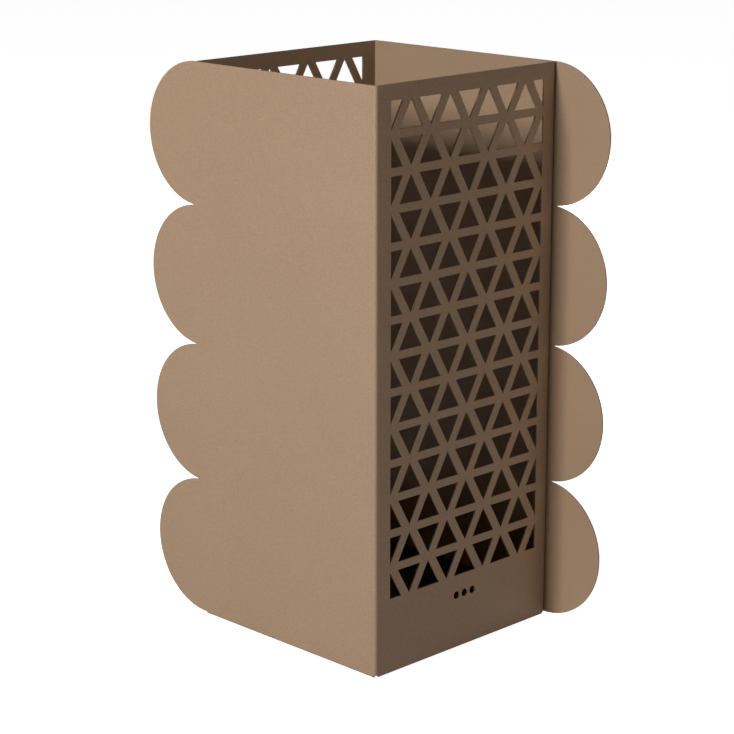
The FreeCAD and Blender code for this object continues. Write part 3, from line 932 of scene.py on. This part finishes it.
def shade(color, factor):
    """A colour made lighter or darker."""
    return tuple(part * factor for part in color[:3]) + (1.0,)


# %% [markdown]
# ## Powder coat
#
# Powder is sprayed on dry and melts in an oven. It flows into a skin that is nearly even,
# with a fine orange peel, and this one has a satin finish with a slight grain. The colour
# is a warm taupe. Two scales of noise make the grain, and a third, far larger one stands
# for the small differences in how thickly the powder lies.

# %% Powder-coated sheet
def powder_coat():
    taupe = (0.37, 0.247, 0.155, 1.0)
    material, shader, point = new_material("taupe powder coat", IOR=1.5)
    grains = point.noise(1500, detail=3, roughness=0.6)
    mottle = point.noise(500, detail=3, roughness=0.55)
    broad = point.noise(8, detail=2)
    shade_of = 0.5 + (grains - 0.5) * 3.6 + (mottle - 0.5) * 0.8 + (broad - 0.5) * 0.3
    connect(shader,
            Base_Color=shade_of.clamp().mix(shade(taupe, 0.84), shade(taupe, 1.16)),
            Roughness=(0.46 + (mottle - 0.5) * 0.14 + (broad - 0.5) * 0.08).clamp(),
            Normal=(grains * 0.7 + mottle).bump(0.07 * MM, 0.5))
    return material


# %% [markdown]
# ## Plastic, rubber and zinc
#
# The tray is a dark moulded plastic with a faint texture. The feet are black rubber, which
# is duller, and a little dusty where it meets the floor. The fasteners have a black zinc
# plating, as is usual under a dark coat: still a metal, but a dark one, whose crystals show
# as slightly different greys.

# %% The three other materials
def moulded_plastic():
    material, shader, point = new_material("dark grey plastic", IOR=1.46)
    texture = point.noise(1500, detail=2)
    flow = point.noise(30, detail=3)
    connect(shader,
            Base_Color=flow.mix((0.072, 0.064, 0.058, 1), (0.088, 0.079, 0.072, 1)),
            Roughness=(0.46 + (texture - 0.5) * 0.10 + (flow - 0.5) * 0.08).clamp(),
            Normal=texture.bump(0.03 * MM, 0.5))
    return material


def black_rubber():
    material, shader, point = new_material("black rubber", IOR=1.5)
    grain = point.noise(900, detail=3)
    dust = point.noise(120, detail=3).smooth(0.45, 0.8)
    connect(shader,
            Base_Color=dust.mix((0.017, 0.017, 0.017, 1), (0.038, 0.037, 0.035, 1)),
            Roughness=(0.72 + (grain - 0.5) * 0.12 + dust * 0.08).clamp(),
            Normal=grain.bump(0.04 * MM, 0.5))
    return material


def zinc_plate():
    material, shader, point = new_material("black zinc plate", Metallic=1.0)
    crystals = point.cells(1300)
    haze = point.noise(200, detail=3)
    grey = (crystals * 0.7 + haze * 0.3).clamp()
    connect(shader,
            Base_Color=grey.mix((0.060, 0.059, 0.057, 1), (0.105, 0.103, 0.098, 1)),
            Roughness=(0.34 + haze * 0.16).clamp(),
            Normal=haze.bump(0.01 * MM, 0.4))
    return material


def paint(pieces, material):
    for piece in pieces:
        piece.data.materials.clear()
        piece.data.materials.append(material)
        for face in piece.data.polygons:
            face.material_index = 0


paint([front_sheet, rear_sheet, base_plate], powder_coat())
paint([drip_tray], moulded_plastic())
paint(list(feet.values()), black_rubber())
paint(hardware, zinc_plate())

# %% [markdown]
# ## Studio
#
# A white floor runs on into white surroundings. The key is a small softbox, straight in front
# of the plain panel and a little above it: it lights the panel and the wings, and reaches
# over the rim into the top of the well. A wide, weak fill stands to the right and a little
# behind, so the wing keeps it out of the corner next to it. A third light serves the views
# from behind, and stands low, so that it stays out of the well. To the camera alone, the
# floor and the surroundings look brighter than the light that they throw on the stand, as
# in a picture whose background is exposed to white.

# %% Floor, lights and camera
AMBIENT = 0.004                          # what the surroundings throw on the stand
GLOW = 0.97                              # what the floor adds to itself for the camera


def aim(item, at, target):
    item.location = at
    item.rotation_euler = (Vector(target) - Vector(at)).to_track_quat("-Z", "Y").to_euler()


def around(azimuth, elevation, distance, target):
    """A place at this distance from the target, seen from this azimuth and elevation."""
    turn = math.radians(azimuth)
    rise = math.radians(elevation)
    way = Vector((math.sin(turn) * math.cos(rise), -math.cos(turn) * math.cos(rise),
                  math.sin(rise)))
    return Vector(target) + way * distance


def softbox(name, azimuth, elevation, distance, size, power, tint=(1, 1, 1),
            target=(0, 0, 0.25)):
    bpy.ops.object.light_add(type="AREA")
    lamp = bpy.context.object
    lamp.name = name
    lamp.data.shape = "RECTANGLE"
    lamp.data.size, lamp.data.size_y = size
    lamp.data.energy = power
    lamp.data.color = tint
    aim(lamp, around(azimuth, elevation, distance, target), target)
    return lamp


def make_floor():
    floor = add("plane", "floor", at=(0, 0, -0.2 * MM), size=(30, 30, 1))
    white, shader, point = new_material("white floor", Roughness=0.9)
    paint([floor], white)
    shader.inputs["Base Color"].default_value = (0.8, 0.8, 0.8, 1)
    plain = Socket(white.node_tree, shader.outputs[0])
    glow = point.node("ShaderNodeEmission", Strength=GLOW)
    lit = point.node("ShaderNodeAddShader", i0=plain, i1=glow)
    to_camera = point.node("ShaderNodeLightPath")
    mixed = point.node("ShaderNodeMixShader", i0=to_camera, i1=plain, i2=lit)
    output = white.node_tree.nodes["Material Output"]
    white.node_tree.links.new(mixed.out, output.inputs["Surface"])


def make_surroundings():
    world = bpy.data.worlds.new("white surroundings")
    bpy.context.scene.world = world
    world.use_nodes = True
    tree = world.node_tree
    background = tree.nodes["Background"]
    background.inputs["Color"].default_value = (1, 1, 1, 1)
    to_camera = Socket(tree, tree.nodes.new("ShaderNodeLightPath").outputs[0])
    strength = to_camera * (1.0 - AMBIENT) + AMBIENT
    tree.links.new(strength.out, background.inputs["Strength"])


start_clean()
make_floor()
make_surroundings()
softbox("key", azimuth=0, elevation=22.5, distance=2.6, size=(0.23, 0.46), power=52.5)
softbox("fill", azimuth=107, elevation=20, distance=2.5, size=(1.3, 1.3), power=8.2,
        tint=(1, 0.90, 0.83))
softbox("back", azimuth=198, elevation=6, distance=2.6, size=(1.3, 1.0), power=40)

bpy.context.scene.view_settings.view_transform = "Standard"

bpy.ops.object.camera_add()
camera = bpy.context.object
camera.name = "camera"
camera.data.lens = 110.65
camera.data.sensor_width = 36.0
camera.data.clip_end = 50
aim_point = (-5.2 * MM, -5.2 * MM, 234.8 * MM)
aim(camera, around(45.14, 14.87, 1988.1 * MM, aim_point), aim_point)
bpy.context.scene.camera = camera
